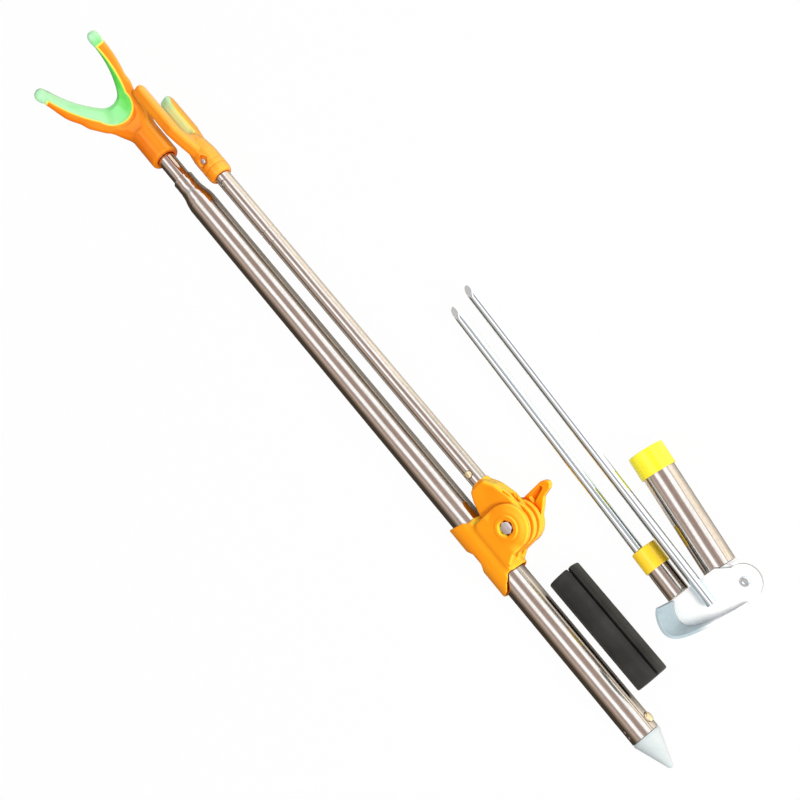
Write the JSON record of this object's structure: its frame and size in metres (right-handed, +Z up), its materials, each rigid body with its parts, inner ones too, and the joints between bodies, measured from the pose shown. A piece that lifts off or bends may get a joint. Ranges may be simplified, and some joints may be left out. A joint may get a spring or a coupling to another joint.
{
  "type": "rod holder bracket",
  "caption": "Telescopic bank pole with a U rod fork, clamp-on folding arm with a two-finger rear holder, ground stake and slit rubber sleeve.",
  "frame": {"origin": "centre of the bottom of the kit's bounding box at rest, on the surface it lies on", "axes": "+X along the folded pole toward its fork, +Y from the folded arm toward the pole, +Z up from the surface the kit lies on"},
  "size_m": [0.774, 0.1946, 0.0865],
  "materials": {
    "orange_nylon": "smooth moulded orange plastic with a soft sheen",
    "green_soft_grip": "soft translucent green grip moulding",
    "polished_stainless": "polished stainless tube and hardware",
    "polished_zinc": "bright plated steel",
    "brass": "smooth brass snap buttons",
    "light_grey_plastic": "pale grey moulded plastic",
    "yellow_plastic": "glossy yellow plastic",
    "black_rubber": "dull black rubber"
  },
  "bodies": {
    "pole": {"outer_pole_tube": "polished_stainless", "cone_tip": "light_grey_plastic", "tip_rivet_1": "polished_stainless", "tip_rivet_2": "polished_stainless", "foot_button_spring": "polished_stainless"},
    "foot_button": {"foot_button": "brass"},
    "inner_pole": {"inner_guide_bush": "light_grey_plastic", "inner_pole_tube": "polished_stainless", "fork_head": "orange_nylon", "fork_liner": "green_soft_grip"},
    "clamp_slider": {"clamp_liner": "orange_nylon"},
    "clamp": {"clamp_body": "orange_nylon", "hinge_bolt": "polished_stainless"},
    "lever": {"clamp_lever": "orange_nylon", "lever_nut": "polished_stainless"},
    "arm": {"arm_knuckle": "orange_nylon", "arm_outer_tube": "polished_stainless"},
    "arm_button": {"arm_button": "brass"},
    "arm_inner": {"arm_inner_tube": "polished_stainless", "rear_holder": "orange_nylon", "holder_liner": "green_soft_grip", "holder_screw": "polished_stainless"},
    "stake": {"foot_plate": "polished_zinc", "left_tine": "polished_zinc", "right_tine": "polished_zinc", "short_tube": "polished_stainless", "short_tube_ring": "yellow_plastic", "pivot_rivet": "polished_zinc"},
    "socket": {"socket_tube": "polished_stainless", "socket_collar": "yellow_plastic", "socket_lug": "polished_zinc"},
    "rubber_sleeve": {"rubber_sleeve": "black_rubber"}
  },
  "joints": [
    {"name": "foot_button_press", "type": "slide", "parent": "pole", "child": "foot_button", "axis": [0, 1, 0], "range_m": [0, 0.0025], "stiffness_N_per_m": 600},
    {"name": "pole_extend", "type": "slide", "parent": "pole", "child": "inner_pole", "axis": [1, 0, 0], "range_m": [0, 0.45]},
    {"name": "clamp_slide", "type": "slide", "parent": "pole", "child": "clamp_slider", "axis": [1, 0, 0], "range_m": [-0.03, 0]},
    {"name": "clamp_turn", "type": "hinge", "parent": "clamp_slider", "child": "clamp", "pos_m": [-0.16817, 0.07285, 0.0163], "axis": [1, 0, 0], "range_deg": [0, 90]},
    {"name": "lever_turn", "type": "hinge", "parent": "clamp", "child": "lever", "pos_m": [-0.16817, 0.04105, 0], "axis": [0, 0, 1], "range_deg": [-60, 20]},
    {"name": "arm_swing", "type": "hinge", "parent": "clamp", "child": "arm", "pos_m": [-0.16817, 0.04105, 0.0163], "axis": [0, 0, 1], "range_deg": [-150, 0]},
    {"name": "arm_button_press", "type": "slide", "parent": "arm", "child": "arm_button", "axis": [0, 0, -1], "range_m": [0, 0.0018], "stiffness_N_per_m": 600},
    {"name": "arm_extend", "type": "slide", "parent": "arm", "child": "arm_inner", "axis": [1, 0, 0], "range_m": [0, 0.33]},
    {"name": "stake_lift", "type": "slide", "parent": "pole", "child": "stake", "axis": [0, 0, 1], "range_m": [0, 0.1]},
    {"name": "sleeve_lift", "type": "slide", "parent": "pole", "child": "rubber_sleeve", "axis": [0, 0, 1], "range_m": [0, 0.1]},
    {"name": "socket_swing", "type": "hinge", "parent": "stake", "child": "socket", "pos_m": [-0.31867, -0.08005, 0.01475], "axis": [0, 0, 1], "range_deg": [-175, 0]}
  ],
  "couplings": [
    {"joint": "arm_extend", "follows": "pole_extend", "ratio": 0.733},
    {"joint": "stake_lift", "follows": "arm_swing", "m_per_rad": -0.038},
    {"joint": "sleeve_lift", "follows": "arm_swing", "m_per_rad": -0.038}
  ]
}
